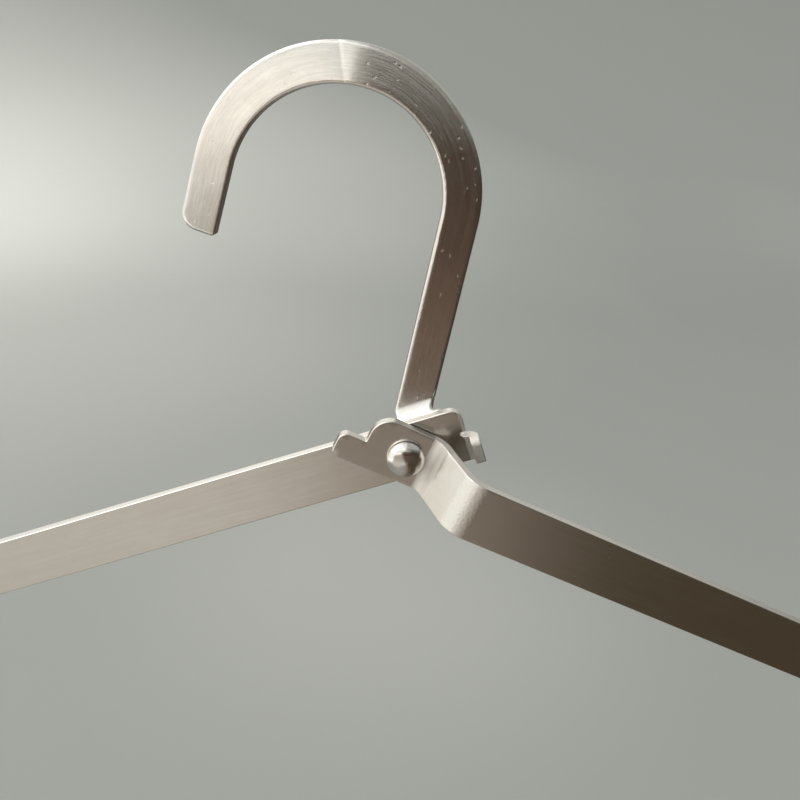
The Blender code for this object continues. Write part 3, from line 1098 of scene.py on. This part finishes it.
def dress():
    second, first = right_arm_bends()
    hollow_start = step_start / MM
    hollow_end = (step_start + first.length) / MM
    crown_start = second.start.x / MM
    crown_end = second.start.x / MM + second.length / MM
    tab_start = stop_tab_bend_start / MM
    hollow = Worked(hollow_start + 0.4, hollow_end + 1.6, edge=0.6, height=0.00003, dulling=0.45)
    crown = Worked(crown_start - 0.5, crown_end, edge=0.8, height=0.00009, dulling=0.12)
    tab_bend = Worked(tab_start + 0.1, tab_start + 6.0, edge=0.3, height=0.00014, dulling=0.30)
    neck = Worked(-14.0, 1.5, edge=2.5, height=0.00001, dulling=0.16)
    left = make_left_arm()
    metal = sheet_metal("left_arm_sheet", (0.83, 0.80, 0.76, 1), (0.78, 0.745, 0.70, 1), (tab_bend,))
    left.data.materials.append(metal)
    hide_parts("left_arm")
    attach(left, "left_arm")

    right = make_right_arm()
    # The right arm is the same metal as the left arm. Its colours are painted darker, as shade for its
    # darker reflections
    metal = sheet_metal("right_arm_sheet", (0.77, 0.74, 0.70, 1), (0.73, 0.69, 0.645, 1), (hollow, crown))
    right.data.materials.append(metal)
    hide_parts("right_arm")
    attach(right, "right_arm")

    hook = make_hook()
    metal = sheet_metal(
        "hook_sheet",
        (0.85, 0.825, 0.79, 1),
        (0.72, 0.69, 0.65, 1),
        (neck,),
        roughness=0.15,
        grain=0.40,
        brush=0.50,
        pit_share=0.19,
    )
    hook.data.materials.append(metal)
    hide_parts("hook")
    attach(hook, "hook")

    rivet = make_rivet()
    metal = polished_metal("rivet_metal", (0.88, 0.86, 0.83, 1), (0.83, 0.80, 0.76, 1), roughness=0.11)
    rivet.data.materials.append(metal)
    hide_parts("pivot_rivet")
    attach(rivet, "hook")


# The room's sides, each a list of elevations in degrees and the colours there
left_front_stops = [
    (-90, 0.26, 0.26, 0.235),
    (-43, 0.34, 0.34, 0.31),
    (-36, 0.60, 0.575, 0.515),
    (-28, 0.58, 0.545, 0.49),
    (-14, 0.40, 0.365, 0.325),
    (-8, 0.42, 0.375, 0.33),
    (-4, 0.86, 0.81, 0.72),
    (-1, 1.60, 1.53, 1.39),
    (3, 0.90, 0.90, 0.84),
    (9, 0.86, 0.87, 0.83),
    (26, 1.30, 1.31, 1.27),
    (48, 1.00, 1.01, 0.98),
    (90, 0.70, 0.71, 0.69),
]
left_side_stops = [
    (-90, 0.30, 0.31, 0.28),
    (-50, 0.28, 0.29, 0.27),
    (-35, 0.30, 0.30, 0.27),
    (-28, 1.00, 0.98, 0.91),
    (-22, 1.45, 1.43, 1.34),
    (-16, 1.09, 1.09, 1.02),
    (4, 1.09, 1.105, 1.055),
    (12, 1.50, 1.50, 1.44),
    (40, 1.50, 1.50, 1.44),
    (90, 0.70, 0.71, 0.69),
]
right_front_stops = [
    (-90, 0.30, 0.28, 0.25),
    (-45, 0.30, 0.25, 0.205),
    (-28, 0.290, 0.250, 0.208),
    (-14, 0.17, 0.12, 0.09),
    (-8, 0.12, 0.078, 0.056),
    (-3, 0.055, 0.028, 0.017),
    (2, 0.035, 0.022, 0.012),
    (4.5, 0.12, 0.12, 0.10),
    (6, 0.34, 0.34, 0.31),
    (8, 0.52, 0.51, 0.48),
    (16, 0.30, 0.31, 0.29),
    (40, 0.45, 0.455, 0.435),
    (90, 0.75, 0.76, 0.73),
]
right_side_stops = [
    (-90, 0.18, 0.17, 0.15),
    (-50, 0.068, 0.053, 0.034),
    (-36, 0.064, 0.050, 0.031),
    (-20, 0.075, 0.058, 0.040),
    (4, 0.05, 0.042, 0.03),
    (16, 0.12, 0.12, 0.11),
    (34, 0.40, 0.41, 0.39),
    (90, 0.40, 0.41, 0.39),
]
behind_right_stops = [
    (-90, 0.18, 0.17, 0.15),
    (-5, 0.07, 0.066, 0.058),
    (3, 0.34, 0.34, 0.32),
    (10, 0.66, 0.66, 0.63),
    (45, 0.66, 0.66, 0.63),
    (90, 0.60, 0.61, 0.59),
]
behind_left_stops = [
    (-90, 0.30, 0.28, 0.25),
    (-5, 0.20, 0.19, 0.17),
    (3, 0.70, 0.70, 0.67),
    (10, 1.15, 1.14, 1.08),
    (45, 1.10, 1.09, 1.04),
    (90, 0.70, 0.71, 0.69),
]

# Azimuths in degrees between which one side turns into the next
left_join = (-44.0, -26.0)
front_join = (-8.0, 2.0)
right_join = (4.0, 23.0)
behind_right_join = (115.0, 135.0)
behind_join = (168.0, 180.0)
behind_left_join = (-140.0, -118.0)

# How the front join leans: two elevations and its shift in degrees at each
low_slant = (-30.0, 0.0, -2.0, 7.0)
high_slant = (2.0, 10.0, 0.0, -9.0)


def studio_world():
    """A soft room: bright on the left, with a pale table below, and dark brown at the right front."""
    world = bpy.data.worlds.new("studio")
    bpy.context.scene.world = world
    world.use_nodes = True
    nodes = Nodes(world.node_tree)
    background = world.node_tree.nodes["Background"]
    way = nodes.add("ShaderNodeTexCoord").outputs["Generated"]
    right, back, up = nodes.parts(way)
    forward = nodes.math("MULTIPLY", back, -1.0)
    to_degrees = 180 / pi
    azimuth = nodes.math("MULTIPLY", nodes.math("ARCTAN2", right, forward), to_degrees)
    elevation = nodes.math("MULTIPLY", nodes.math("ARCSINE", up), to_degrees)

    left_front = nodes.profile(elevation, left_front_stops)
    left_side = nodes.profile(elevation, left_side_stops)
    right_front = nodes.profile(elevation, right_front_stops)
    right_side = nodes.profile(elevation, right_side_stops)
    behind_right = nodes.profile(elevation, behind_right_stops)
    behind_left = nodes.profile(elevation, behind_left_stops)
    slant = nodes.ramp(elevation, *low_slant, smooth=False)
    slant = nodes.math("ADD", slant, nodes.ramp(elevation, *high_slant, smooth=False))
    past_edge = nodes.math("ADD", azimuth, slant)
    left = nodes.mix(nodes.ramp(azimuth, *left_join, 1.0, 0.0), left_front, left_side)
    colour = nodes.mix(nodes.ramp(past_edge, *front_join), left, right_front)
    colour = nodes.mix(nodes.ramp(azimuth, *right_join), colour, right_side)
    colour = nodes.mix(nodes.ramp(azimuth, *behind_right_join), colour, behind_right)
    colour = nodes.mix(nodes.ramp(azimuth, *behind_join), colour, behind_left)
    colour = nodes.mix(nodes.ramp(azimuth, *behind_left_join, 1.0, 0.0), colour, behind_left)
    seen = nodes.add("ShaderNodeLightPath").outputs["Is Camera Ray"]
    plain = (0.36, 0.37, 0.355, 1)
    nodes.link(nodes.mix(seen, colour, plain), background.inputs["Color"])
    background.inputs["Strength"].default_value = 1.0


def studio_floor():
    """A pale floor that curves up into a backdrop, with painted patches of light, painted shade higher up
    and a painted glow.
    """
    drop = 0.16
    floor_height = cad_box[0].z - drop
    half_width = 4.0
    front_reach = -4.0
    back_reach = 1.6
    curve_radius = 0.7
    wall_height = 2.5
    side_points = [(front_reach, floor_height), (back_reach - curve_radius, floor_height)]
    curve_middle = Vector((back_reach - curve_radius, floor_height + curve_radius))
    curve = arc_points(curve_middle, curve_radius, -pi / 2, pi / 2, corner_step)
    side_points += [(place.x, place.y) for place in curve]
    side_points.append((back_reach, floor_height + wall_height))
    data = bpy.data.meshes.new("floor")
    places = []
    faces = []
    for depth, height in side_points:
        places += [(-half_width, depth, height), (half_width, depth, height)]
    for index in range(len(side_points) - 1):
        first = 2 * index
        faces.append((first, first + 1, first + 3, first + 2))
    data.from_pydata(places, [], faces)
    data.shade_smooth()
    floor = linked("floor", data)
    material = bpy.data.materials.new("floor_paper")
    material.use_nodes = True
    nodes = Nodes(material.node_tree)
    shader = material.node_tree.nodes["Principled BSDF"]
    place = nodes.add("ShaderNodeTexCoord").outputs["Object"]
    mottle = nodes.noise(place, 2.0, scale=1.6)

    def painted_light_pool_at(centre, reach, strength):
        """A pale painted patch of light on the paper, even within its core, that fades out at its reach.
        """
        core = 0.03
        gap = nodes.add("ShaderNodeVectorMath", {0: place, 1: centre}, operation="DISTANCE")
        return nodes.ramp(gap.outputs["Value"], core, reach, strength, 0.0)

    height = nodes.parts(place)["Z"]
    # Painted shade: the paper's colour gets darker as the backdrop rises
    painted_shade_heights = (-0.22, 0.06)
    painted_shade_share = -0.60
    mottle_share = 0.06
    # Painted light: pale patches painted into the paper's colour, with a little random mottle on top
    painted_light_and_mottle = painted_light_pool_at((-0.75, 1.20, -0.20), reach=1.35, strength=1.0)
    for share in (
        painted_light_pool_at((0.03, 0.28, -0.31), reach=0.22, strength=0.24),
        painted_light_pool_at((-0.25, 0.62, -0.31), reach=0.45, strength=0.20),
        nodes.ramp(height, *painted_shade_heights, 0.0, painted_shade_share),
        nodes.ramp(mottle, *noise_blend, -mottle_share, mottle_share),
    ):
        painted_light_and_mottle = nodes.math("ADD", painted_light_and_mottle, share)
    # Painted glow: an emission on the paper that only the camera sees, lighting nothing
    painted_glow = painted_light_pool_at((-0.58, 1.05, -0.29), reach=0.45, strength=0.20)
    seen = nodes.add("ShaderNodeLightPath").outputs["Is Camera Ray"]
    nodes.link(nodes.math("MULTIPLY", painted_glow, seen), shader.inputs["Emission Strength"])
    shader.inputs["Emission Color"].default_value = (0.95, 0.96, 0.90, 1)
    # The paper runs from the deep colour where no light is painted to the pale colour inside the painted
    # patches of light
    deep = (0.430, 0.441, 0.424, 1)
    pale = (0.840, 0.848, 0.815, 1)
    nodes.link(nodes.mix(painted_light_and_mottle, deep, pale), shader.inputs["Base Color"])
    shader.inputs["Roughness"].default_value = 0.9
    data.materials.append(material)
    floor.visible_glossy = False


def studio_lamp():
    """A large soft lamp in front of the hanger, above it and to its left."""
    data = bpy.data.lights.new("left_lamp", "AREA")
    data.shape = "SQUARE"
    data.size = 1.2
    data.energy = 6.0
    data.color = (1.0, 0.97, 0.92)
    lamp = linked("left_lamp", data)
    place = Vector((-1.2, -0.4, 1.3))
    target = Vector((0, 0, -0.1))
    lamp.location = place
    lamp.rotation_euler = (place - target).to_track_quat("Z", "Y").to_euler()


def camera():
    """The photograph's view, worked out from the arms and the hook. Places are from the pivot."""
    place = Vector((-0.0128891, -0.1575196, 0.0816130))
    right = Vector((0.99614154, -0.03194064, 0.08174244))
    down = Vector((0.06177183, -0.40643866, -0.91158755))
    onward = Vector((0.06233998, 0.91311961, -0.4028974))
    data = bpy.data.cameras.new("camera")
    data.sensor_width = 36.0
    data.lens = 37.357
    data.clip_start = 0.01
    data.clip_end = 50.0
    view = linked("camera", data)
    turn = Matrix((right, -down, -onward)).transposed()
    view.matrix_world = Matrix.Translation(PIVOT + place) @ turn.to_4x4()
    bpy.context.scene.camera = view


dress()
studio_world()
studio_floor()
studio_lamp()
camera()
bpy.context.scene.view_settings.view_transform = "Standard"
